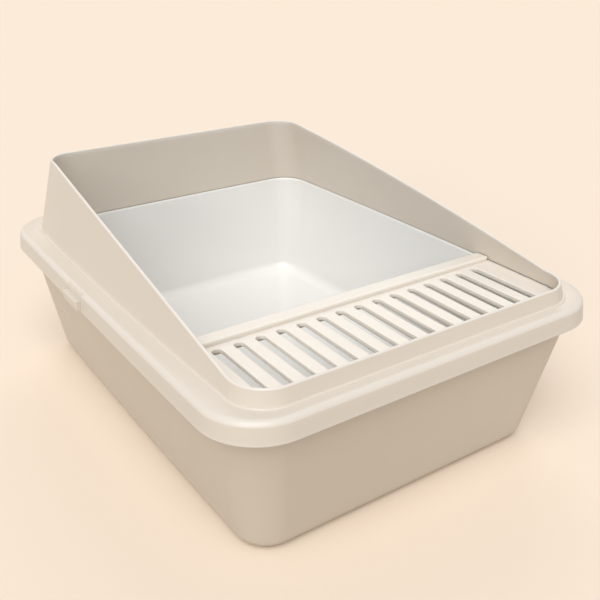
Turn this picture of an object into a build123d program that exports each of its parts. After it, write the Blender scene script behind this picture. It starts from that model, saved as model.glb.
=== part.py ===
from build123d import *
import os

# Litter box: a tapered tub, a pan hung in it, a slotted step, and a leaning splash guard with side latches.
# Millimetres. +Z is up, -Y is the front, and the origin is on the floor, midway along the guard's skirt.

# Heights above the floor
tub_height = 162.0
skirt_drop = 21.0
guard_front_height = 15.5
guard_rear_height = 84.0

# Plan of the guard's skirt at its lower edge
skirt_half_width = 213.4
skirt_half_depth = 280.0
skirt_corner = 57.0
side_bow = 2.0

# Tub
tub_wall = 3.0
tub_side_lean = 28.6
tub_front_lean = 34.0
tub_rear_lean = 13.4
tub_base_corner = 32.0
tub_foot_radius = 16.0
foot_ring_width = 14.0
foot_ring_height = 2.5
foot_recess_corner = 18.0

# Rim stack: the tub's rim, the pan's rim on it, and the guard's flange on top
rim_clearance = 1.4
rim_lip_depth = 12.0
rim_lip_wall = 2.6
rim_thickness = 3.0
tub_side_margin = 5.2
tub_end_margin = 2.6

# Pan
pan_wall = 2.4
pan_floor_gap = 23.1
pan_side_lean = 17.5
pan_front_lean = 25.0
pan_rear_lean = 14.0
pan_rear_corner_lean = 8.0
pan_floor_radius = 15.0
pan_edge_round = 1.6
ledge_width = 8.0
ledge_thickness = 3.0

# Guard
guard_wall = 2.8
flange_thickness = 3.0
flange_round = 6.0
skirt_flare = 2.8
flange_side = 25.8
flange_front = 17.6
flange_rear = 29.0
foot_front_corner = 37.0
foot_rear_corner = 36.0
wall_bow = 4.5
wall_side_lean = 20.1
wall_front_lean = 20.1
wall_rear_lean = 12.0
wall_front_corner_lean = 18.0
wall_rear_corner_lean = 6.0
foot_bead_width = 2.4
foot_bead_height = 1.4
foot_bead_round = 1.0
front_level = 40.4
rear_level = 48.0
rise_bow = 3.8
rise_blend = 45.0
trim_height = 4.0
edge_round = 1.2

# Step grid
grid_clearance = 1.0
grid_sink = 2.2
grid_plate = 4.0
grid_border = 9.0
grid_border_wall = 3.0
step_depth = 121.4
groove_width = 1.8
groove_depth = 1.2
lip_depth = 19.0
lip_height = 4.0
lip_fall = 0.8
lip_drop = 14.6
lip_wall = 3.0
lip_rear_round = 4.0
lip_front_round = 1.4
slot_pitch = 22.3
slot_width = 9.6
slot_side_margin = 20.0
slot_front_margin = 15.4
slot_rear_margin = 7.5
slot_round = 0.8
rib_width = 2.4
rib_root = 0.5

# Side latches
latch_y = 44.0
latch_length = 37.0
latch_gap = 0.3
latch_grip_gap = 0.3
latch_ledge_top = 11.8
latch_ledge_bottom = 3.0
latch_reach = 5.9
latch_lift = 0.6
latch_arm = 3.0
latch_nose_low = 3.4
latch_nose_high = 6.6
latch_round = 1.2
window_top_gap = 0.4
hinge_height = 13.5
hinge_pin_radius = 0.8
hinge_running_gap = 0.05
hinge_barrel_wall = 0.95
hinge_boss_radius = 1.8
hinge_boss_length = 5.0
pin_seat = 3.5

# Sizes that follow from those above
floor_top = foot_ring_height + tub_wall
pan_rim_top = tub_height + rim_thickness
flange_top = pan_rim_top + flange_thickness
skirt_bottom = flange_top - skirt_drop
guard_top = flange_top + guard_rear_height
front_top = flange_top + guard_front_height
pan_floor = floor_top + pan_floor_gap + pan_wall
pan_depth = pan_rim_top - pan_floor
rim_inset = skirt_flare + guard_wall + rim_clearance
rim_half_width = skirt_half_width - rim_inset
rim_half_depth = skirt_half_depth - rim_inset
rim_corner = skirt_corner - rim_inset
tub_top_half_width = rim_half_width - tub_side_margin
tub_top_half_depth = rim_half_depth - tub_end_margin
tub_top_corner = rim_corner - tub_end_margin
tub_base_half_width = tub_top_half_width - tub_side_lean
tub_base_front = tub_top_half_depth - tub_front_lean
tub_base_rear = tub_top_half_depth - tub_rear_lean
foot_half_width = skirt_half_width - flange_side
foot_front = skirt_half_depth - flange_front
foot_rear = skirt_half_depth - flange_rear
rise_start = foot_front - front_level
rise_end = foot_rear - rear_level
grid_top = flange_top - grid_sink
grid_bottom = grid_top - grid_border
grid_inset = guard_wall + grid_clearance
grid_rear = foot_front - step_depth
lip_rear = grid_rear - lip_depth
lip_top = grid_top + lip_height


def outline(height, half_width, front, rear, front_corner, rear_corner, bow=side_bow):
    """A rounded oblong at a height, straight across its ends and bowed along its sides."""
    middle = (rear - front) / 2
    widest = half_width + bow
    with BuildSketch(Plane.XY.offset(height)) as shape:
        with BuildLine():
            Line((-half_width, -front), (half_width, -front))
            ThreePointArc((half_width, -front), (widest, middle), (half_width, rear))
            Line((half_width, rear), (-half_width, rear))
            ThreePointArc((-half_width, rear), (-widest, middle), (-half_width, -front))
        make_face()
        fillet(shape.vertices().group_by(Axis.Y)[0], front_corner)
        fillet(shape.vertices().group_by(Axis.Y)[-1], rear_corner)
    return shape.sketch


def rim_outline(height, inset=0.0):
    """The outer line of the tub's and the pan's rims."""
    side, end, corner = rim_half_width - inset, rim_half_depth - inset, rim_corner - inset
    return outline(height, side, end, end, corner, corner)


def skirt_outline(height, inset=0.0):
    """The guard's skirt, which flares by skirt_flare on its way down."""
    inset += skirt_flare * (height - skirt_bottom) / skirt_drop
    side, end, corner = skirt_half_width - inset, skirt_half_depth - inset, skirt_corner - inset
    return outline(height, side, end, end, corner, corner)


def tub_outline(height, inset=0.0):
    """The tub's wall, which leans out from its base to its rim."""
    share = height / tub_height
    side = tub_base_half_width + (tub_top_half_width - tub_base_half_width) * share - inset
    front = tub_base_front + (tub_top_half_depth - tub_base_front) * share - inset
    rear = tub_base_rear + (tub_top_half_depth - tub_base_rear) * share - inset
    corner = tub_base_corner + (tub_top_corner - tub_base_corner) * share - inset
    return outline(height, side, front, rear, corner, corner)


def wall_outline(height, inset=0.0):
    """The outside of the guard's wall, which leans in from its foot to its top."""
    share = (height - flange_top) / guard_rear_height
    side = foot_half_width - wall_side_lean * share - inset
    front = foot_front - wall_front_lean * share - inset
    rear = foot_rear - wall_rear_lean * share - inset
    front_corner = foot_front_corner - wall_front_corner_lean * share - inset
    rear_corner = foot_rear_corner - wall_rear_corner_lean * share - inset
    return outline(height, side, front, rear, front_corner, rear_corner, wall_bow)


def pan_outline(height, inset=0.0):
    """The inside of the pan's wall, flush with the guard's wall at the rim and leaning in to the floor."""
    share = (pan_rim_top - height) / pan_depth
    side = foot_half_width - guard_wall - pan_side_lean * share - inset
    front = foot_front - guard_wall - pan_front_lean * share - inset
    rear = foot_rear - guard_wall - pan_rear_lean * share - inset
    front_corner = foot_front_corner - guard_wall - inset
    rear_corner = foot_rear_corner - guard_wall - pan_rear_corner_lean * share - inset
    return outline(height, side, front, rear, front_corner, rear_corner, wall_bow)


def latch_bow(half_depth):
    """How far a bowed side stands out where the latches are."""
    return side_bow * (1 - (latch_y / half_depth) ** 2)


os.makedirs("parts", exist_ok=True)

# Base tub: a leaning shell on a foot ring, with a rim that turns out and down
with BuildPart(mode=Mode.PRIVATE) as tub_body:
    loft([tub_outline(0), tub_outline(tub_height)])
    fillet(tub_body.faces().sort_by(Axis.Z)[0].edges(), tub_foot_radius)

with BuildPart(mode=Mode.PRIVATE) as tub_room:
    loft([tub_outline(floor_top, tub_wall), tub_outline(tub_height, tub_wall)])
    fillet(tub_room.faces().sort_by(Axis.Z)[0].edges(), tub_foot_radius - tub_wall)

recess_inset = tub_foot_radius + foot_ring_width
foot_recess = outline(
    0,
    tub_base_half_width - recess_inset,
    tub_base_front - recess_inset,
    tub_base_rear - recess_inset,
    foot_recess_corner,
    foot_recess_corner,
)
with BuildPart() as base_tub:
    extrude(rim_outline(tub_height - rim_lip_depth), amount=rim_lip_depth)
    extrude(rim_outline(tub_height - rim_lip_depth, rim_lip_wall), amount=rim_lip_depth - rim_thickness,
            mode=Mode.SUBTRACT)
    add(tub_body.part)
    add(tub_room.part, mode=Mode.SUBTRACT)
    extrude(foot_recess, amount=foot_ring_height, mode=Mode.SUBTRACT)
base_tub.part.label = "base_tub"
export_step(base_tub.part, "parts/base_tub.step")

# Litter pan: a smooth shell that hangs by its rim, with a ledge round its front for the step
with BuildPart(mode=Mode.PRIVATE) as pan_room:
    loft([pan_outline(pan_floor), pan_outline(pan_rim_top)])
    fillet(pan_room.faces().sort_by(Axis.Z)[0].edges(), pan_floor_radius)

with BuildPart(mode=Mode.PRIVATE) as pan_ledge:
    extrude(pan_outline(grid_bottom, -pan_wall / 2), amount=-ledge_thickness)
    extrude(pan_outline(grid_bottom, ledge_width), amount=-ledge_thickness, mode=Mode.SUBTRACT)
    split(bisect_by=Plane.XZ.offset(grid_rear + grid_border_wall), keep=Keep.TOP)

with BuildPart() as litter_pan:
    loft([pan_outline(pan_floor - pan_wall, -pan_wall), pan_outline(pan_rim_top, -pan_wall)])
    fillet(litter_pan.faces().sort_by(Axis.Z)[0].edges(), pan_floor_radius + pan_wall)
    extrude(rim_outline(tub_height), amount=rim_thickness)
    add(pan_room.part, mode=Mode.SUBTRACT)
    fillet(litter_pan.faces().sort_by(Axis.Z)[-1].inner_wires().edges(), pan_edge_round)
    add(pan_ledge.part)
litter_pan.part.label = "litter_pan"
export_step(litter_pan.part, "parts/litter_pan.step")

# Step grid: a slotted plate with a turned-down border, ribs below and a raised lip along its rear
slot_front = foot_front - slot_front_margin
slot_rear = grid_rear + slot_rear_margin
slots_each_side = int((foot_half_width - grid_inset - slot_side_margin) / slot_pitch)
slot_count = 2 * slots_each_side + 1
rib_front = foot_front - grid_inset - grid_border_wall
rib_rear = grid_rear + grid_border_wall
with BuildPart(mode=Mode.PRIVATE) as grid_room:
    extrude(pan_outline(grid_bottom, grid_clearance + grid_border_wall), amount=grid_border - grid_plate)
    split(bisect_by=Plane.XZ.offset(rib_rear), keep=Keep.TOP)

with BuildPart(mode=Mode.PRIVATE) as rear_lip:
    with BuildSketch(Plane.YZ) as lip_profile:
        with BuildLine():
            Polyline(
                (-grid_rear, grid_top - grid_plate),
                (-grid_rear, lip_top),
                (-lip_rear, lip_top - lip_fall),
                (-lip_rear, grid_top - lip_drop),
                (-lip_rear - lip_wall, grid_top - lip_drop),
                (-lip_rear - lip_wall, lip_top - lip_fall - lip_wall),
                (-grid_rear + lip_wall, lip_top - lip_wall),
                (-grid_rear + lip_wall, grid_top - grid_plate),
                close=True,
            )
        make_face()
        # In the sketch's own axes: X towards the rear, Y up
        fillet(lip_profile.vertices().group_by(Axis.X)[0].sort_by(Axis.Y)[-1], lip_front_round)
        fillet(lip_profile.vertices().group_by(Axis.X)[-1].sort_by(Axis.Y)[-1], lip_rear_round)
    extrude(amount=skirt_half_width, both=True)
    lip_room = [pan_outline(grid_top - lip_drop, grid_clearance), wall_outline(lip_top, grid_inset)]
    loft(lip_room, mode=Mode.INTERSECT)

with BuildPart() as step_grid:
    loft([pan_outline(grid_bottom, grid_clearance), wall_outline(grid_top, grid_inset)])
    split(bisect_by=Plane.XZ.offset(grid_rear), keep=Keep.TOP)
    add(grid_room.part, mode=Mode.SUBTRACT)
    with Locations((0, -(rib_front + rib_rear) / 2, grid_top - grid_plate)):
        with GridLocations(slot_pitch, 1, slot_count - 1, 1):
            Box(rib_width, rib_front - rib_rear + 2 * rib_root, grid_border - grid_plate,
                align=(Align.CENTER, Align.CENTER, Align.MAX))
    with BuildSketch(Plane.XY.offset(grid_top)) as slots:
        with Locations((0, -(slot_front + slot_rear) / 2)):
            with GridLocations(slot_pitch, 1, slot_count, 1):
                SlotOverall(slot_front - slot_rear, slot_width, rotation=90)
    extrude(amount=-grid_plate, mode=Mode.SUBTRACT)
    fillet(step_grid.faces().filter_by(Plane.XY).sort_by(Axis.Z)[-1].inner_wires().edges(), slot_round)
    with Locations((0, -grid_rear, grid_top)):
        Box(2 * skirt_half_width, groove_width, groove_depth,
            align=(Align.CENTER, Align.MAX, Align.MAX), mode=Mode.SUBTRACT)
    add(rear_lip.part)
step_grid.part.label = "step_grid"
export_step(step_grid.part, "parts/step_grid.step")

# Splash guard: flange, turned-down skirt and leaning wall in one shell, with a hinge window in each side
hinge_z = skirt_bottom + hinge_height
skirt_side = skirt_half_width - skirt_flare * hinge_height / skirt_drop + latch_bow(skirt_half_depth)
hinge_x = skirt_side - hinge_boss_radius
barrel_radius = hinge_pin_radius + hinge_running_gap + hinge_barrel_wall
window_length = latch_length + 2 * latch_gap
window_height = hinge_height + barrel_radius + window_top_gap
pin_length = window_length + 2 * pin_seat

with BuildPart(mode=Mode.PRIVATE) as above_rim:
    with BuildSketch(Plane.YZ) as rim_profile:
        with BuildLine():
            Line((-skirt_half_depth, front_top), (-rise_start, front_top))
            ThreePointArc(
                (-rise_start, front_top),
                ((rise_end - rise_start) / 2, (front_top + guard_top) / 2 + rise_bow),
                (rise_end, guard_top),
            )
            Polyline(
                (rise_end, guard_top),
                (skirt_half_depth, guard_top),
                (skirt_half_depth, guard_top + guard_rear_height),
                (-skirt_half_depth, guard_top + guard_rear_height),
                (-skirt_half_depth, front_top),
            )
        make_face()
        # The sketch's own X runs along the box: past two corners at each end lie the two bends
        fillet(rim_profile.vertices().sort_by(Axis.X)[2:-2], rise_blend)
    extrude(amount=skirt_half_width, both=True)

with BuildPart(mode=Mode.PRIVATE) as wall_room:
    loft([wall_outline(pan_rim_top, guard_wall), wall_outline(guard_top + trim_height, guard_wall)])

with BuildPart(mode=Mode.PRIVATE) as leaning_wall:
    loft([wall_outline(pan_rim_top), wall_outline(guard_top + trim_height)])
    add([wall_room.part, above_rim.part], mode=Mode.SUBTRACT)
    fillet(leaning_wall.faces().filter_by(lambda face: face.normal_at().Z > 0.5).edges(), edge_round)

with BuildPart() as splash_guard:
    loft([skirt_outline(skirt_bottom), skirt_outline(flange_top)])
    fillet(splash_guard.faces().sort_by(Axis.Z)[0].edges(), edge_round)
    fillet(splash_guard.faces().sort_by(Axis.Z)[-1].edges(), flange_round)
    extrude(wall_outline(flange_top, -foot_bead_width), amount=foot_bead_height)
    fillet(splash_guard.faces().sort_by(Axis.Z)[-1].edges(), foot_bead_round)
    skirt_room = [skirt_outline(skirt_bottom, guard_wall), skirt_outline(pan_rim_top, guard_wall)]
    loft(skirt_room, mode=Mode.SUBTRACT)
    add(wall_room.part, mode=Mode.SUBTRACT)
    add(leaning_wall.part)
    for side in (-1, 1):
        with Locations((side * hinge_x, latch_y, skirt_bottom)):
            Box(4 * guard_wall, window_length, 2 * window_height, mode=Mode.SUBTRACT)
        with Locations((side * hinge_x, latch_y, hinge_z)):
            with GridLocations(1, window_length + hinge_boss_length, 1, 2):
                Cylinder(hinge_boss_radius, hinge_boss_length, rotation=(90, 0, 0))
            Cylinder(hinge_pin_radius, pin_length, rotation=(90, 0, 0), mode=Mode.SUBTRACT)
splash_guard.part.label = "splash_guard"
export_step(splash_guard.part, "parts/splash_guard.step")

# Side latches: a finger ledge outside the skirt, a hinge barrel above it and a nose against the tub's rim
grip_x = rim_half_width + latch_bow(rim_half_depth) + latch_grip_gap
arm_in = hinge_x - latch_arm / 2
arm_out = hinge_x + latch_arm / 2
ledge_x = skirt_side + latch_reach
with BuildPart() as side_latch_right:
    with BuildSketch(Plane.XZ.offset(-latch_y - latch_length / 2)):
        with BuildLine():
            Polyline(
                (arm_in, hinge_z),
                (arm_in, skirt_bottom + latch_nose_high),
                (grip_x, skirt_bottom + latch_nose_high),
                (grip_x, skirt_bottom + latch_nose_low),
                (arm_in, skirt_bottom + latch_nose_low),
                (arm_in, skirt_bottom + latch_lift),
                (arm_out, skirt_bottom + latch_lift),
                (ledge_x, skirt_bottom + latch_ledge_bottom),
                (ledge_x, skirt_bottom + latch_ledge_top),
                (arm_out, skirt_bottom + latch_ledge_top),
                (arm_out, hinge_z),
                close=True,
            )
        make_face()
        with Locations((hinge_x, hinge_z)):
            Circle(barrel_radius)
            Circle(hinge_pin_radius + hinge_running_gap, mode=Mode.SUBTRACT)
    extrude(amount=latch_length)
    fillet(side_latch_right.faces().sort_by(Axis.X)[-1].edges(), latch_round)
side_latch_right.part.label = "side_latch_right"
export_step(side_latch_right.part, "parts/side_latch_right.step")

with BuildPart() as side_latch_left:
    mirror(side_latch_right.part, about=Plane.YZ)
side_latch_left.part.label = "side_latch_left"
export_step(side_latch_left.part, "parts/side_latch_left.step")

# Latch pins, each pressed into the two bosses of its window
with BuildPart() as latch_pin_right:
    with Locations((hinge_x, latch_y, hinge_z)):
        Cylinder(hinge_pin_radius, pin_length, rotation=(90, 0, 0))
latch_pin_right.part.label = "latch_pin_right"
export_step(latch_pin_right.part, "parts/latch_pin_right.step")

with BuildPart() as latch_pin_left:
    mirror(latch_pin_right.part, about=Plane.YZ)
latch_pin_left.part.label = "latch_pin_left"
export_step(latch_pin_left.part, "parts/latch_pin_left.step")
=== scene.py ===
import math

import bpy
import numpy as np
from mathutils import Matrix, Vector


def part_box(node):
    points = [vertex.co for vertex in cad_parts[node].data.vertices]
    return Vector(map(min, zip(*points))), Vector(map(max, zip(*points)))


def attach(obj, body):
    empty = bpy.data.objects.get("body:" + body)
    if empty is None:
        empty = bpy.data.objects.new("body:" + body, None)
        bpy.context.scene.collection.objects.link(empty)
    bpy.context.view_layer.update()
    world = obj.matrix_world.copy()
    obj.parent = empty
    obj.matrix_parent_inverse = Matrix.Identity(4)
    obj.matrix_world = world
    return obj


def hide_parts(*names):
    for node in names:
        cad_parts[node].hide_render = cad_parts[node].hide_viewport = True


# Litter box: base tub, hanging pan, slotted step, splash guard and two side latches.
# Sizes are in millimetres and meshes are made in metres, +Z up, front at -Y.

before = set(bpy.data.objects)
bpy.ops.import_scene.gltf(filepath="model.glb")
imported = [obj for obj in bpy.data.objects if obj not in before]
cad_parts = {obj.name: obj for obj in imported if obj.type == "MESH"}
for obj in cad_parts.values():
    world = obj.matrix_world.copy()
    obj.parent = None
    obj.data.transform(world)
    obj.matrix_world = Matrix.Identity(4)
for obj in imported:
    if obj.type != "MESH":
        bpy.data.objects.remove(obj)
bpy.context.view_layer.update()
mm = 0.001


def corners(node):
    low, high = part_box(node)
    return np.array(low) / mm, np.array(high) / mm


tubHigh = corners("base_tub")[1]
panLow, panHigh = corners("litter_pan")
guardLow, guardHigh = corners("splash_guard")
latchLow, latchHigh = corners("side_latch_right")
stepHigh = corners("step_grid")[1]
pinLow, pinHigh = corners("latch_pin_right")

# What the shells share
common = {
    "bow": 2.0,            # how far the long sides of the rims, the skirt and the tub bulge
    "wallBow": 4.5,        # how far those of the guard's wall and the pan bulge
    "rimCorner": 50.0,     # plan radius of the tub's and the pan's rims
    "skirtFlare": 2.8,     # the skirt widens by this on its way down
    "rimClearance": 1.4,   # between the rims and the skirt
    "flange": 3.0,         # thickness of the guard's flange
    "guardWall": 2.8,
    "sharpAngle": 38.0,    # degrees between faces past which an edge is shaded sharp
}
rimHalfWidth = panHigh[0] - common["bow"]
rimHalfDepth = panHigh[1]
tubTop, panTop = tubHigh[2], panHigh[2]
flangeTop = panTop + common["flange"]
skirtBottom, guardTop = guardLow[2], guardHigh[2]
skirtInset = common["skirtFlare"] + common["guardWall"] + common["rimClearance"]
skirtHalfWidth, skirtHalfDepth = rimHalfWidth + skirtInset, rimHalfDepth + skirtInset
skirtCorner = common["rimCorner"] + skirtInset

guard = {
    "flangeSide": 25.8, "flangeFront": 17.6, "flangeRear": 29.0,  # flange width outside the wall's foot
    "frontCorner": 37.0, "rearCorner": 36.0,
    "sideLean": 20.1, "frontLean": 20.1, "rearLean": 12.0, "frontCornerLean": 18.0, "rearCornerLean": 6.0,
    "frontHeight": 15.5,      # of the wall above the flange
    "frontLevel": 40.4, "rearLevel": 48.0, "riseBow": 3.8,
    "frontBlend": 4.4, "rearBlend": 2.8,     # half lengths of the two bends of the slanted rim
    "flangeRound": 5.2, "edgeRound": 1.3, "innerRound": 0.5,
    "beadWidth": 2.4, "beadHeight": 1.4, "beadRound": 1.0,
    "reliefHigh": 1.5, "reliefDeep": 1.6,    # the small step under the wall's inner edge, over the pan's rim
    "windowGap": 0.3, "windowTop": 15.7, "bossRadius": 1.75, "bossLength": 5.0,
}
footHalfWidth = skirtHalfWidth - guard["flangeSide"]
footFront = skirtHalfDepth - guard["flangeFront"]
footRear = skirtHalfDepth - guard["flangeRear"]
windowFront = latchLow[1] - guard["windowGap"]
windowRear = latchHigh[1] + guard["windowGap"]

# Where the step lies on the pan: the ledge carries the step's border and stops in front of its raised lip
step = {
    "lipToLedge": 22.0,      # from the lip's rear face forward to the ledge's end
    "topToLedge": 13.0,      # from the lip's top down to the ledge
}
ledgeEnd = stepHigh[1] - step["lipToLedge"]
ledgeTop = stepHigh[2] - step["topToLedge"]

# Columns round an oblong, for one half of it: front end, front corner, side, rear corner, rear end.
# The side is cut at stops that no corner reaches, with narrow columns at the ledge's end and the window.
narrow = 0.3
columns = {
    "end": 14,
    "corner": 28,
    "sideStops": (-186.0, ledgeEnd, ledgeEnd + narrow, windowFront - narrow, windowFront, windowRear,
                  windowRear + narrow, 180.0),
    "side": (10, 8, 1, 20, 1, 8, 1, 16, 12),
}


def columnPlan():
    # For each column: its kind, how far along its own stretch it lies, and which stretch of the side that is
    kinds = [np.full(columns["end"], 0), np.full(columns["corner"], 1), np.full(sum(columns["side"]), 2)]
    kinds += [np.full(columns["corner"], 3), np.full(columns["end"] + 1, 4)]
    along = [np.arange(columns["end"]) / columns["end"], np.arange(columns["corner"]) / columns["corner"]]
    along.append(np.concatenate([np.arange(n) / n for n in columns["side"]]))
    along.append(np.arange(columns["corner"]) / columns["corner"])
    along.append(np.arange(columns["end"] + 1) / columns["end"])
    kinds = np.concatenate(kinds)
    stretch = np.zeros(len(kinds), int)
    stretch[kinds == 2] = np.repeat(np.arange(len(columns["side"])), columns["side"])
    return kinds, np.concatenate(along), stretch


columnKind, columnAlong, columnStretch = columnPlan()


def halfRing(side, front, rear, frontCorner, rearCorner, bow):
    # Right half of an oblong for every row. Ends: y = -front or rear. Corners: centre + radius * (cos a,
    # sin a). Sides: x = side, with y spread between the stops. Then x grows by the factor
    # 1 + bow / side * (1 - t^2), where t runs from -1 to 1 along the box.
    angle = np.radians(90) * columnAlong
    stops = np.array(columns["sideStops"])
    lastStop = len(stops) - 1
    stopBefore = stops[np.maximum(columnStretch - 1, 0)]
    stopAfter = stops[np.minimum(columnStretch, lastStop)]
    before = np.where(columnStretch == 0, frontCorner - front, stopBefore)
    after = np.where(columnStretch > lastStop, rear - rearCorner, stopAfter)
    stretches = [columnKind == kind for kind in range(5)]
    x = np.select(stretches, [
        columnAlong * (side - frontCorner),
        side - frontCorner + frontCorner * np.sin(angle),
        side + 0 * columnAlong,
        side - rearCorner + rearCorner * np.cos(angle),
        (1 - columnAlong) * (side - rearCorner),
    ])
    y = np.select(stretches, [
        -front + 0 * columnAlong,
        frontCorner - front - frontCorner * np.cos(angle),
        before + (after - before) * columnAlong,
        rear - rearCorner + rearCorner * np.sin(angle),
        rear + 0 * columnAlong,
    ])
    t = (y - (rear - front) / 2) / ((rear + front) / 2)
    return x * (1 + bow / side * (1 - t ** 2)), y


def place(shape, z, inset):
    # x and y of the rows of one shape: its outline at height z, drawn in by inset
    side, front, rear, frontCorner, rearCorner, bow = shape(z)
    return halfRing(side - inset, front - inset, rear - inset, frontCorner - inset, rearCorner - inset, bow)


def rimShape(z):
    level = 0 * z
    return (rimHalfWidth + level, rimHalfDepth + level, rimHalfDepth + level,
            common["rimCorner"] + level, common["rimCorner"] + level, common["bow"])


def skirtShape(z):
    draw = common["skirtFlare"] * (z - skirtBottom) / (flangeTop - skirtBottom)
    return (skirtHalfWidth - draw, skirtHalfDepth - draw, skirtHalfDepth - draw,
            skirtCorner - draw, skirtCorner - draw, common["bow"])


def wallShape(z):
    share = (z - flangeTop) / (guardTop - flangeTop)
    return (footHalfWidth - guard["sideLean"] * share, footFront - guard["frontLean"] * share,
            footRear - guard["rearLean"] * share, guard["frontCorner"] - guard["frontCornerLean"] * share,
            guard["rearCorner"] - guard["rearCornerLean"] * share, common["wallBow"])


def arc(z, inset, radius, start, end, steps):
    # Rows on a quarter round of the profile: z + radius * sin a, inset - radius * cos a
    a = np.radians(np.linspace(start, end, steps))
    return z + radius * np.sin(a), inset - radius * np.cos(a)


def spread(z0, z1, inset0, inset1, steps):
    # Rows evenly spaced along a straight run of the profile, both ends left out
    share = np.arange(1, steps) / steps
    return z0 + (z1 - z0) * share, inset0 + (inset1 - inset0) * share


def rows(shape, run, wearAndHighlight=0.0):
    # One stretch of a profile as x, y, z and edge paleness (wear and painted highlight), with a row for each
    # profile point
    z, inset = (np.atleast_1d(values)[:, None] for values in run)
    x, y = place(shape, z, inset)
    return x, y, z + 0 * x, wearAndHighlight + 0 * x


def between(first, last, steps):
    # Rows that join two rows in a straight line
    share = (np.arange(1, steps) / steps)[:, None]
    return tuple(a[-1:] + (b[:1] - a[-1:]) * share for a, b in zip(first, last))


def flat(row, shares):
    # Copies of a closed floor's edge row, shrunk towards the middle of the floor
    x, y, z, wearAndHighlight = row
    shares = np.array(shares)[:, None]
    middle = (y.max() + y.min()) / 2
    return x[:1] * shares, middle + (y[:1] - middle) * shares, z[:1] + 0 * shares, wearAndHighlight[:1] + 0 * shares


def shell(name, stretches, closed):
    # Mirrors the half rows, joins neighbouring rows and columns with four-sided faces, and either joins the
    # last row to the first or closes both end rows with a flat face
    x, y, z, wearAndHighlight = (np.vstack(group) for group in zip(*stretches))
    left = slice(-2, 0, -1)
    x, y = np.hstack([x, -x[:, left]]), np.hstack([y, y[:, left]])
    z, wearAndHighlight = np.hstack([z, z[:, left]]), np.hstack([wearAndHighlight, wearAndHighlight[:, left]])
    count, around = x.shape
    index = np.arange(count * around).reshape(count, around)
    upper = np.roll(index, -1, axis=0) if closed else index[1:]
    lower = index if closed else index[:-1]
    faces = np.stack([lower, np.roll(lower, -1, 1), np.roll(upper, -1, 1), upper], -1).reshape(-1, 4).tolist()
    if not closed:
        faces += [index[0, ::-1].tolist(), index[-1].tolist()]
    mesh = bpy.data.meshes.new(name)
    points = np.stack([x, y, z], -1).reshape(-1, 3) * mm
    mesh.from_pydata(points.tolist(), [], faces)
    # Edge paleness per point: wear, and a painted highlight on rounded edges and rims
    mark = mesh.attributes.new("edgeWearAndHighlight", "FLOAT", "POINT")
    mark.data.foreach_set("value", wearAndHighlight.ravel().astype(np.float32))
    mesh.shade_smooth()
    mesh.set_sharp_from_angle(angle=math.radians(common["sharpAngle"]))
    mesh.validate()
    piece = bpy.data.objects.new(name, mesh)
    bpy.context.scene.collection.objects.link(piece)
    print("made", name, "with", len(mesh.polygons), "faces")
    return piece


def rimLine(y):
    # Height of the guard's rim: level, then a rise of almost constant slope with a slight bow, then level
    # again. Each bend is a parabola that joins the two slopes.
    low, high = flangeTop + guard["frontHeight"], guardTop
    start, end = guard["frontLevel"] - footFront, footRear - guard["rearLevel"]
    t = (y - start) / (end - start)
    line = low + (high - low) * t + 4 * guard["riseBow"] * t * (1 - t)
    line = np.where(y < start, low, np.where(y > end, high, line))
    slope = (high - low) / (end - start)
    turn = 4 * guard["riseBow"] / (end - start)
    a, b = guard["frontBlend"], guard["rearBlend"]
    line = np.where(np.abs(y - start) < a, low + (slope + turn) * (y - start + a) ** 2 / (4 * a), line)
    return np.where(np.abs(y - end) < b, high - (slope - turn) * (end + b - y) ** 2 / (4 * b), line)


def wallRows(base, share, inset, wearAndHighlight):
    # Rows of the leaning wall: z = base + share * rim height. The rim's height is taken at the row's own y,
    # which shifts with z as the wall leans, so the two are worked out in turns until they settle.
    base, share, inset = (np.atleast_1d(values)[:, None] + 0.0 for values in (base, share, inset))
    z = base + share * guardTop
    for turn in range(6):
        x, y = place(wallShape, z, inset)
        z = base + share * rimLine(y)
    return x, y, z, wearAndHighlight + 0 * x


def skirtRows(z, inset, inner):
    # Rows of the skirt. Inside a latch window the skirt ends at the window's top: there the rows are squeezed
    # between that height and the flange, and the outer ones follow the flange's rounded edge.
    z, inset = z[:, None], inset[:, None]
    x, y = place(skirtShape, z, inset)
    top = panTop if inner else flangeTop
    cut = skirtBottom + guard["windowTop"]
    inside = (y > windowFront - 0.01) & (y < windowRear + 0.01) & (x > rimHalfWidth - 5)
    raised = cut + (z - skirtBottom) * (top - cut) / (top - skirtBottom)
    z = np.where(inside, raised, z + 0 * x)
    if not inner:
        r = guard["flangeRound"]
        past = np.clip(raised - (flangeTop - r), 0, r)
        inset = np.where(inside, r - np.sqrt(np.maximum(r * r - past * past, 0)), inset)
    x, y = place(skirtShape, z, inset)
    return x, y, z, 0 * x


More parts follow.
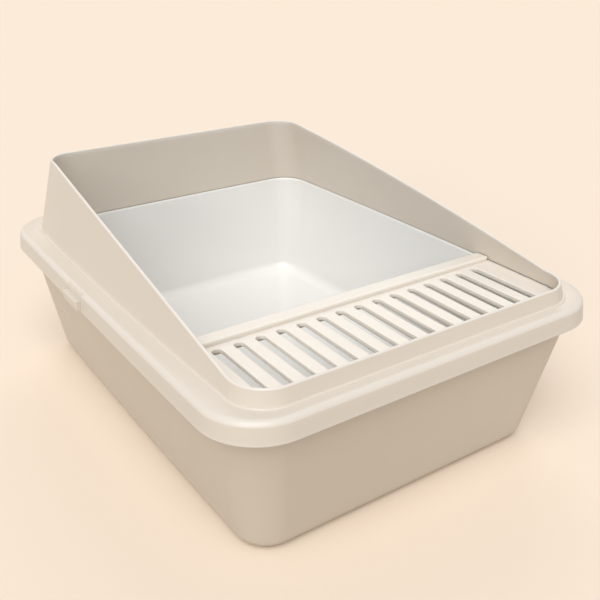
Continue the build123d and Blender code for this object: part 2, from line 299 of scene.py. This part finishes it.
def makeGuard():
    # Closed profile: skirt, flange, foot bead, wall, rounded rim, and back down the inside
    bottom, top, wall = skirtBottom, flangeTop, common["guardWall"]
    edge, curve, inner = guard["edgeRound"], guard["flangeRound"], guard["innerRound"]
    outerZ, outerInset = zip(
        arc(bottom + edge, edge, edge, -90, 0, 6),
        spread(bottom + edge, top - curve, 0, 0, 5),
        arc(top - curve, curve, curve, 0, 90, 14),
    )
    outer = skirtRows(np.concatenate(outerZ), np.concatenate(outerInset), False)
    # The skirt's lower edge and the flange's rounded edge are paler: wear, and on the flange edge a painted
    # highlight
    outer[3][:6] = 0.5
    outer[3][12:22] = 0.6
    beadOut, beadTop, beadRound = guard["beadWidth"], guard["beadHeight"], guard["beadRound"]
    # The foot bead is a little paler: a painted highlight along the crease, with some wear
    bead = rows(wallShape, np.hstack([
        np.array([[top], [-beadOut]]),
        np.array(arc(top + beadTop - beadRound, beadRound - beadOut, beadRound, 0, 90, 6)),
        np.array([[top + beadTop], [0.0]]),
    ]), 0.25)
    share = np.arange(1, 17) / 16
    foot = top + beadTop
    wallOut = wallRows(foot * (1 - share) - edge * share, share, 0 * share, 0.0)
    over, overInset = arc(-edge, edge, edge, 12, 90, 7)
    overIn, overInsetIn = arc(-edge, wall - edge, edge, 90, 180, 8)
    # The rim is palest of all: a painted highlight along its top, with some wear
    rim = wallRows(np.concatenate([over, overIn]), np.ones(15), np.concatenate([overInset, overInsetIn]), 1.0)
    down = np.arange(15, -1, -1) / 16
    heel = panTop + guard["reliefHigh"]
    wallIn = wallRows(heel * (1 - down) - edge * down, down, wall + 0 * down, 0.0)
    relief = rows(wallShape, (np.array([heel, panTop]), wall - guard["reliefDeep"] + np.zeros(2)))
    innerZ, innerInset = zip(
        (np.array([panTop]), np.array([wall])),
        spread(panTop, bottom + inner, wall, wall, 6),
        arc(bottom + inner, wall - inner, inner, 180, 270, 4),
    )
    innerSkirt = skirtRows(np.concatenate(innerZ), np.concatenate(innerInset), True)
    stretches = [outer, between(outer, bead, 4), bead, wallOut, rim, wallIn, relief,
                 between(relief, innerSkirt, 4), innerSkirt]
    return shell("splashGuardShell", stretches, True)


def makeBosses():
    # Four short round bosses that hold the ends of the hinge pins, just inside the skirt
    around = 24
    turn = np.linspace(0, 2 * np.pi, around, endpoint=False)
    middleX, middleZ = (pinLow[0] + pinHigh[0]) / 2, (pinLow[2] + pinHigh[2]) / 2
    ringX = middleX + guard["bossRadius"] * np.cos(turn)
    ringZ = middleZ + guard["bossRadius"] * np.sin(turn)
    here = np.arange(around)
    beside = (here + 1) % around
    wallFaces = np.stack([here, beside, beside + around, here + around], 1).tolist()
    ends = [here[::-1].tolist(), (here + around).tolist()]
    points, faces = [], []
    for sign in (-1, 1):
        for start in (windowFront - guard["bossLength"], windowRear):
            near = np.stack([sign * ringX, start + 0 * ringX, ringZ], 1)
            far = near + np.array([0, guard["bossLength"], 0])
            first = 2 * around * len(points)
            points.append(np.vstack([near, far]) * mm)
            faces += [[first + i for i in (face[::-1] if sign > 0 else face)] for face in wallFaces + ends]
    mesh = bpy.data.meshes.new("hingeBosses")
    mesh.from_pydata(np.vstack(points).tolist(), [], faces)
    mesh.shade_smooth()
    mesh.set_sharp_from_angle(angle=math.radians(common["sharpAngle"]))
    piece = bpy.data.objects.new("hingeBosses", mesh)
    bpy.context.scene.collection.objects.link(piece)
    print("made hingeBosses with", len(faces), "faces")
    return piece


pan = {
    "wall": 2.4, "sideLean": 17.5, "frontLean": 25.0, "rearLean": 14.0, "rearCornerLean": 8.0,
    "ledgeWidth": 8.0, "ledgeThick": 3.0,
    "floorRound": 13.2, "edgeRound": 1.6, "rimRound": 0.8,
}
panUnder = panLow[2]
panFloor = panUnder + pan["wall"]


def panShape(z):
    share = (panTop - z) / (panTop - panFloor)
    wall = common["guardWall"]
    return (footHalfWidth - wall - pan["sideLean"] * share, footFront - wall - pan["frontLean"] * share,
            footRear - wall - pan["rearLean"] * share, guard["frontCorner"] - wall + 0 * z,
            guard["rearCorner"] - wall - pan["rearCornerLean"] * share, common["wallBow"])


def ledgeRows():
    # In front, four rows stand in from the wall as the ledge that carries the step. Behind, they stay on the
    # wall.
    share = np.arange(4)[:, None] / 3
    x, y = place(panShape, ledgeTop - pan["ledgeThick"] * share, 0 * share)
    front = y < ledgeEnd + 0.01
    z = ledgeTop - pan["ledgeThick"] * np.where(front, np.round(share), share)
    x, y = place(panShape, z, np.where(front, pan["ledgeWidth"] * np.array([[0], [1], [1], [0]]), 0.0))
    return x, y, z, 0 * x


def makePan():
    # Open profile from the middle of the underside, up the outside, over the rim and down to the middle of
    # the floor
    wall, edge, lip = pan["wall"], pan["edgeRound"], pan["rimRound"]
    outerRound, innerRound = pan["floorRound"] + wall, pan["floorRound"]
    under = rows(panShape, arc(panUnder + outerRound, outerRound - wall, outerRound, -90, 0, 14))
    outside = rows(panShape, spread(panUnder + outerRound, tubTop, -wall, -wall, 14))
    neck = rows(panShape, (tubTop, -wall))
    # The pan's rim and the inner edge of its lip are paler: a painted highlight, with some wear
    brim = rows(rimShape, np.hstack([
        np.array(arc(tubTop + lip, lip, lip, -90, 0, 5)),
        np.array(arc(panTop - lip, lip, lip, 0, 90, 5)),
    ]), 0.4)
    lipZ, lipInset = arc(panTop - edge, -edge, edge, 90, 180, 9)
    lipRows = rows(panShape, (lipZ, lipInset), 0.8)
    upper = rows(panShape, spread(panTop - edge, ledgeTop, 0, 0, 3))
    lower = rows(panShape, spread(ledgeTop - pan["ledgeThick"], panFloor + innerRound, 0, 0, 16))
    floor = rows(panShape, arc(panFloor + innerRound, innerRound, innerRound, 0, -90, 16))
    last = tuple(v[-1:] for v in floor)
    stretches = [flat(under, (0.02, 0.35, 0.7, 0.93)), under, outside, neck, between(neck, brim, 3), brim,
                 between(brim, lipRows, 3), lipRows, upper, ledgeRows(), lower, floor,
                 flat(last, (0.95, 0.7, 0.35, 0.02))]
    return shell("litterPanShell", stretches, False)


tub = {
    "wall": 3.0, "sideLean": 28.6, "frontLean": 34.0, "rearLean": 13.4, "baseCorner": 32.0,
    "sideMargin": 5.2, "endMargin": 2.6,       # between the wall's top and the rim's edge
    "footRound": 13.4, "recess": 30.0, "recessCorner": 18.0, "ringHeight": 2.5, "ringRound": 0.8,
    "lipDepth": 12.0, "lipWall": 2.6, "rimThickness": 3.0, "rimRound": 0.9, "mouthRound": 0.8,
}


def tubShape(z):
    share = z / tubTop
    side = rimHalfWidth - tub["sideMargin"] - tub["sideLean"] * (1 - share)
    front = rimHalfDepth - tub["endMargin"] - tub["frontLean"] * (1 - share)
    rear = rimHalfDepth - tub["endMargin"] - tub["rearLean"] * (1 - share)
    topCorner = common["rimCorner"] - tub["endMargin"]
    corner = tub["baseCorner"] + (topCorner - tub["baseCorner"]) * share
    return side, front, rear, corner, corner, common["bow"]


def recessShape(z):
    # The edge of the recess under the tub, upright and drawn in from the tub's base
    side, front, rear = (size - tub["recess"] for size in tubShape(0 * z)[:3])
    corner = tub["recessCorner"] + 0 * z
    return side, front, rear, corner, corner, common["bow"]


def makeTub():
    # Open profile from the middle of the recess below, over the foot ring, up the wall, round the turned-down
    # lip, over the rim and down inside to the middle of the floor
    wall, foot = tub["wall"], tub["footRound"]
    ringHigh, soft = tub["ringHeight"], tub["ringRound"]
    floorTop = ringHigh + wall
    recessEdge = rows(recessShape, (ringHigh, 0))
    ringRows = rows(recessShape, arc(soft, -soft, soft, 180, 270, 4))
    footRows = rows(tubShape, arc(foot, foot, foot, -90, 0, 16))
    lip, lipWall, thick, edge = tub["lipDepth"], tub["lipWall"], tub["rimThickness"], tub["rimRound"]
    wallOut = rows(tubShape, spread(foot, tubTop - thick, 0, 0, 18))
    neck = rows(tubShape, (tubTop - thick, 0))
    lipIn = rows(rimShape, (tubTop - thick, lipWall))
    lipOut = rows(rimShape, np.hstack([
        np.array(arc(tubTop - lip + edge, lipWall - edge, edge, 180, 270, 4)),
        np.array(arc(tubTop - lip + edge, edge, edge, -90, 0, 4)),
        np.array(spread(tubTop - lip + edge, tubTop - edge, 0, 0, 4)),
        np.array(arc(tubTop - edge, edge, edge, 0, 90, 6)),
    ]), 0.3)
    mouthRound = tub["mouthRound"]
    mouth = rows(tubShape, arc(tubTop - mouthRound, wall - mouthRound, mouthRound, 90, 180, 5), 0.3)
    room = foot - wall
    wallIn = rows(tubShape, spread(tubTop - mouthRound, floorTop + room, wall, wall, 14))
    floor = rows(tubShape, arc(floorTop + room, wall + room, room, 0, -90, 12))
    last = tuple(v[-1:] for v in floor)
    stretches = [flat(recessEdge, (0.02, 0.35, 0.7)), recessEdge, ringRows, footRows, wallOut, neck, lipIn,
                 lipOut, mouth, wallIn, floor, flat(last, (0.9, 0.6, 0.3, 0.02))]
    return shell("baseTubShell", stretches, False)


# Finishes. Each plastic has a faint cloudiness in its colour, a slow drift in its gloss and a fine grain.
# Its rounded edges and rims are paler: partly wear from handling, mostly a painted highlight. The pins are
# plain metal.
finishes = {
    "tub": {"colour": (0.675, 0.607, 0.511), "rough": 0.42, "grain": 0.03, "cloud": 0.035, "coat": 0.0},
    "guard": {"colour": (0.720, 0.653, 0.566), "rough": 0.32, "grain": 0.015, "cloud": 0.025, "coat": 0.0},
    "step": {"colour": (0.828, 0.774, 0.704), "rough": 0.36, "grain": 0.02, "cloud": 0.025, "coat": 0.0,
             "glow": 0.7},       # light that soaks through the edges of its slots
    "pan": {"colour": (0.825, 0.82, 0.797), "rough": 0.16, "grain": 0.006, "cloud": 0.015, "coat": 0.5},
    "pin": {"colour": (0.55, 0.55, 0.54), "rough": 0.3, "grain": 0.0, "cloud": 0.02, "coat": 0.0,
            "metal": 1.0},
}

# What all finishes share
surface = {
    "cloudScale": 9.0, "patchScale": 40.0, "grainScale": 1100.0,   # of the noises, per metre
    "grainDepth": 0.0004,
    "glossRange": 0.03,                    # how far the roughness drifts either way
    "wearAndHighlightAmount": 0.6, "wearAndHighlightPaling": 0.45,    # of the rounded edges: wear and a painted highlight
    "coatRough": 0.08,
    "soakDepth": 0.004, "soakColour": (1.0, 0.9, 0.8),
}


def plastic(name):
    values = finishes[name]
    material = bpy.data.materials.new(name + "Plastic")
    material.use_nodes = True
    tree = material.node_tree
    nodes, links = tree.nodes, tree.links
    shader = nodes["Principled BSDF"]
    shader.inputs["Metallic"].default_value = values.get("metal", 0.0)
    shader.inputs["IOR"].default_value = 1.49
    shader.inputs["Coat Weight"].default_value = values["coat"]
    shader.inputs["Coat Roughness"].default_value = surface["coatRough"]
    shader.inputs["Subsurface Weight"].default_value = values.get("glow", 0.0)
    shader.inputs["Subsurface Radius"].default_value = surface["soakColour"]
    shader.inputs["Subsurface Scale"].default_value = surface["soakDepth"]
    whereabouts = nodes.new("ShaderNodeTexCoord")

    def noise(scale, detail):
        texture = nodes.new("ShaderNodeTexNoise")
        texture.inputs["Scale"].default_value = scale
        texture.inputs["Detail"].default_value = detail
        links.new(whereabouts.outputs["Object"], texture.inputs["Vector"])
        return texture

    cloud = noise(surface["cloudScale"], 3.0)
    shade = nodes.new("ShaderNodeMix")
    shade.data_type = "RGBA"
    dark = [c * (1 - values["cloud"]) for c in values["colour"]]
    pale = [min(c * (1 + values["cloud"]), 1.0) for c in values["colour"]]
    shade.inputs["A"].default_value = (*dark, 1)
    shade.inputs["B"].default_value = (*pale, 1)
    links.new(cloud.outputs["Fac"], shade.inputs["Factor"])
    # Rounded edges and rims are mixed towards a paler colour: wear, and a painted highlight
    wearAndHighlight = nodes.new("ShaderNodeAttribute")
    wearAndHighlight.attribute_name = "edgeWearAndHighlight"
    amount = nodes.new("ShaderNodeMath")
    amount.operation = "MULTIPLY"
    amount.inputs[1].default_value = surface["wearAndHighlightAmount"]
    links.new(wearAndHighlight.outputs["Fac"], amount.inputs[0])
    wornAndHighlit = nodes.new("ShaderNodeMix")
    wornAndHighlit.data_type = "RGBA"
    wornAndHighlit.inputs["B"].default_value = (*[c + (1 - c) * surface["wearAndHighlightPaling"] for c in values["colour"]], 1)
    links.new(amount.outputs["Value"], wornAndHighlit.inputs["Factor"])
    links.new(shade.outputs["Result"], wornAndHighlit.inputs["A"])
    links.new(wornAndHighlit.outputs["Result"], shader.inputs["Base Color"])

    patch = noise(surface["patchScale"], 1.0)
    gloss = nodes.new("ShaderNodeMapRange")
    gloss.inputs["From Min"].default_value = 0.1
    gloss.inputs["From Max"].default_value = 0.9
    gloss.inputs["To Min"].default_value = values["rough"] - surface["glossRange"]
    gloss.inputs["To Max"].default_value = values["rough"] + surface["glossRange"]
    links.new(patch.outputs["Fac"], gloss.inputs["Value"])
    links.new(gloss.outputs["Result"], shader.inputs["Roughness"])
    grain = noise(surface["grainScale"], 2.0)
    bump = nodes.new("ShaderNodeBump")
    bump.inputs["Strength"].default_value = values["grain"]
    bump.inputs["Distance"].default_value = surface["grainDepth"]
    links.new(grain.outputs["Fac"], bump.inputs["Height"])
    links.new(bump.outputs["Normal"], shader.inputs["Normal"])
    return material


def dress(piece, material):
    piece.data.materials.clear()
    piece.data.materials.append(material)


tubPlastic, guardPlastic, stepPlastic = plastic("tub"), plastic("guard"), plastic("step")
panPlastic, pinSteel = plastic("pan"), plastic("pin")

tubPiece = makeTub()
dress(tubPiece, tubPlastic)
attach(tubPiece, "tub")
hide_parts("base_tub")

panPiece = makePan()
dress(panPiece, panPlastic)
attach(panPiece, "pan")
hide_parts("litter_pan")

guardPiece = makeGuard()
dress(guardPiece, guardPlastic)
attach(guardPiece, "guard")
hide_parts("splash_guard")

bossPiece = makeBosses()
dress(bossPiece, guardPlastic)
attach(bossPiece, "guard")

for node, material in (
    ("step_grid", stepPlastic),
    ("side_latch_left", guardPlastic),
    ("side_latch_right", guardPlastic),
    ("latch_pin_left", pinSteel),
    ("latch_pin_right", pinSteel),
):
    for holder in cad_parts[node].material_slots:
        holder.material = material
print("pieces dressed")

# Setting: a pale floor and soft light
setting = {
    "floorSeen": (0.930, 0.795, 0.658),      # the colour that the camera and reflections see
    "floorBounce": (0.62, 0.53, 0.44),       # the colour that lights the object from below
    "floorSize": 30.0,
    "worldColour": (1.0, 1.0, 1.0),
    "worldStrength": 0.40,
    # Wide, soft lamps: where each shines from, its strength, and its apparent width in degrees
    "lamps": {
        "keyLight": ((-0.50, -0.55, 1.0), 2.04, 50.0),
        "lowLight": ((-0.83, -0.56, 0.36), 0.34, 14.0),
        "rearLight": ((0.6, 0.8, 0.7), 0.48, 40.0),
    },
}


def seenDirectly(nodes, links):
    # 1 for rays from the camera, off a glossy surface or through a clear one, 0 for rays that light things
    path = nodes.new("ShaderNodeLightPath")
    level = path.outputs["Is Camera Ray"]
    for kind in ("Is Glossy Ray", "Is Transmission Ray"):
        join = nodes.new("ShaderNodeMath")
        join.operation = "MAXIMUM"
        links.new(level, join.inputs[0])
        links.new(path.outputs[kind], join.inputs[1])
        level = join.outputs["Value"]
    return level


def makeFloor():
    half = setting["floorSize"] / 2
    mesh = bpy.data.meshes.new("floor")
    points = [(-half, -half, 0), (half, -half, 0), (half, half, 0), (-half, half, 0)]
    mesh.from_pydata(points, [], [(0, 1, 2, 3)])
    floor = bpy.data.objects.new("floor", mesh)
    bpy.context.scene.collection.objects.link(floor)
    material = bpy.data.materials.new("floorPaint")
    material.use_nodes = True
    nodes, links = material.node_tree.nodes, material.node_tree.links
    shader = nodes["Principled BSDF"]
    shader.inputs["Roughness"].default_value = 0.9
    shader.inputs["Specular IOR Level"].default_value = 0.0
    paint = nodes.new("ShaderNodeMix")
    paint.data_type = "RGBA"
    paint.inputs["A"].default_value = (*setting["floorBounce"], 1)
    paint.inputs["B"].default_value = (*setting["floorSeen"], 1)
    links.new(seenDirectly(nodes, links), paint.inputs["Factor"])
    links.new(paint.outputs["Result"], shader.inputs["Base Color"])
    mesh.materials.append(material)


def makeWorld():
    # Soft light from all round; the camera and reflections see the backdrop's colour instead
    world = bpy.data.worlds.new("softRoom")
    bpy.context.scene.world = world
    world.use_nodes = True
    nodes, links = world.node_tree.nodes, world.node_tree.links
    light = nodes["Background"]
    light.inputs["Color"].default_value = (*setting["worldColour"], 1)
    light.inputs["Strength"].default_value = setting["worldStrength"]
    seen = nodes.new("ShaderNodeBackground")
    seen.inputs["Color"].default_value = (*setting["floorSeen"], 1)
    mix = nodes.new("ShaderNodeMixShader")
    links.new(seenDirectly(nodes, links), mix.inputs["Fac"])
    links.new(light.outputs["Background"], mix.inputs[1])
    links.new(seen.outputs["Background"], mix.inputs[2])
    links.new(mix.outputs["Shader"], nodes["World Output"].inputs["Surface"])


def aim(thing, spot, away):
    # Puts a lamp at the spot and turns it so that its back points along away
    away = np.array(away) / np.linalg.norm(away)
    right = np.cross([0, 0, 1], away)
    right = right / np.linalg.norm(right)
    up = np.cross(away, right)
    thing.matrix_world = Matrix.Translation(spot) @ Matrix(np.stack([right, up, away], 1)).to_4x4()


def makeLamp(name, shinesFrom, strength, width):
    lamp = bpy.data.lights.new(name, "SUN")
    lamp.energy = strength
    lamp.angle = math.radians(width)
    thing = bpy.data.objects.new(name, lamp)
    bpy.context.scene.collection.objects.link(thing)
    aim(thing, (0, 0, 2), shinesFrom)


camera = {
    "place": (-0.4369, -0.6980, 0.5079),
    "yaw": 34.03, "pitch": -25.69, "roll": -0.21,   # degrees: heading from +Y to +X, tilt, lean
    "lens": 48.16,
}


def makeCamera():
    yaw, pitch, roll = (math.radians(camera[k]) for k in ("yaw", "pitch", "roll"))
    ahead = np.array([math.sin(yaw) * math.cos(pitch), math.cos(yaw) * math.cos(pitch), math.sin(pitch)])
    level = np.array([math.cos(yaw), -math.sin(yaw), 0.0])
    above = np.cross(level, ahead)
    right = level * math.cos(roll) + above * math.sin(roll)
    up = above * math.cos(roll) - level * math.sin(roll)
    data = bpy.data.cameras.new("camera")
    data.lens = camera["lens"]
    data.sensor_width = 36.0
    data.clip_start = 0.05
    thing = bpy.data.objects.new("camera", data)
    bpy.context.scene.collection.objects.link(thing)
    turned = Matrix(np.stack([right, up, -ahead], 1)).to_4x4()
    thing.matrix_world = Matrix.Translation(camera["place"]) @ turned
    bpy.context.scene.camera = thing


makeFloor()
makeWorld()
for name, (shinesFrom, strength, width) in setting["lamps"].items():
    makeLamp(name, shinesFrom, strength, width)
makeCamera()
bpy.context.scene.view_settings.view_transform = "Standard"
print("stage set")
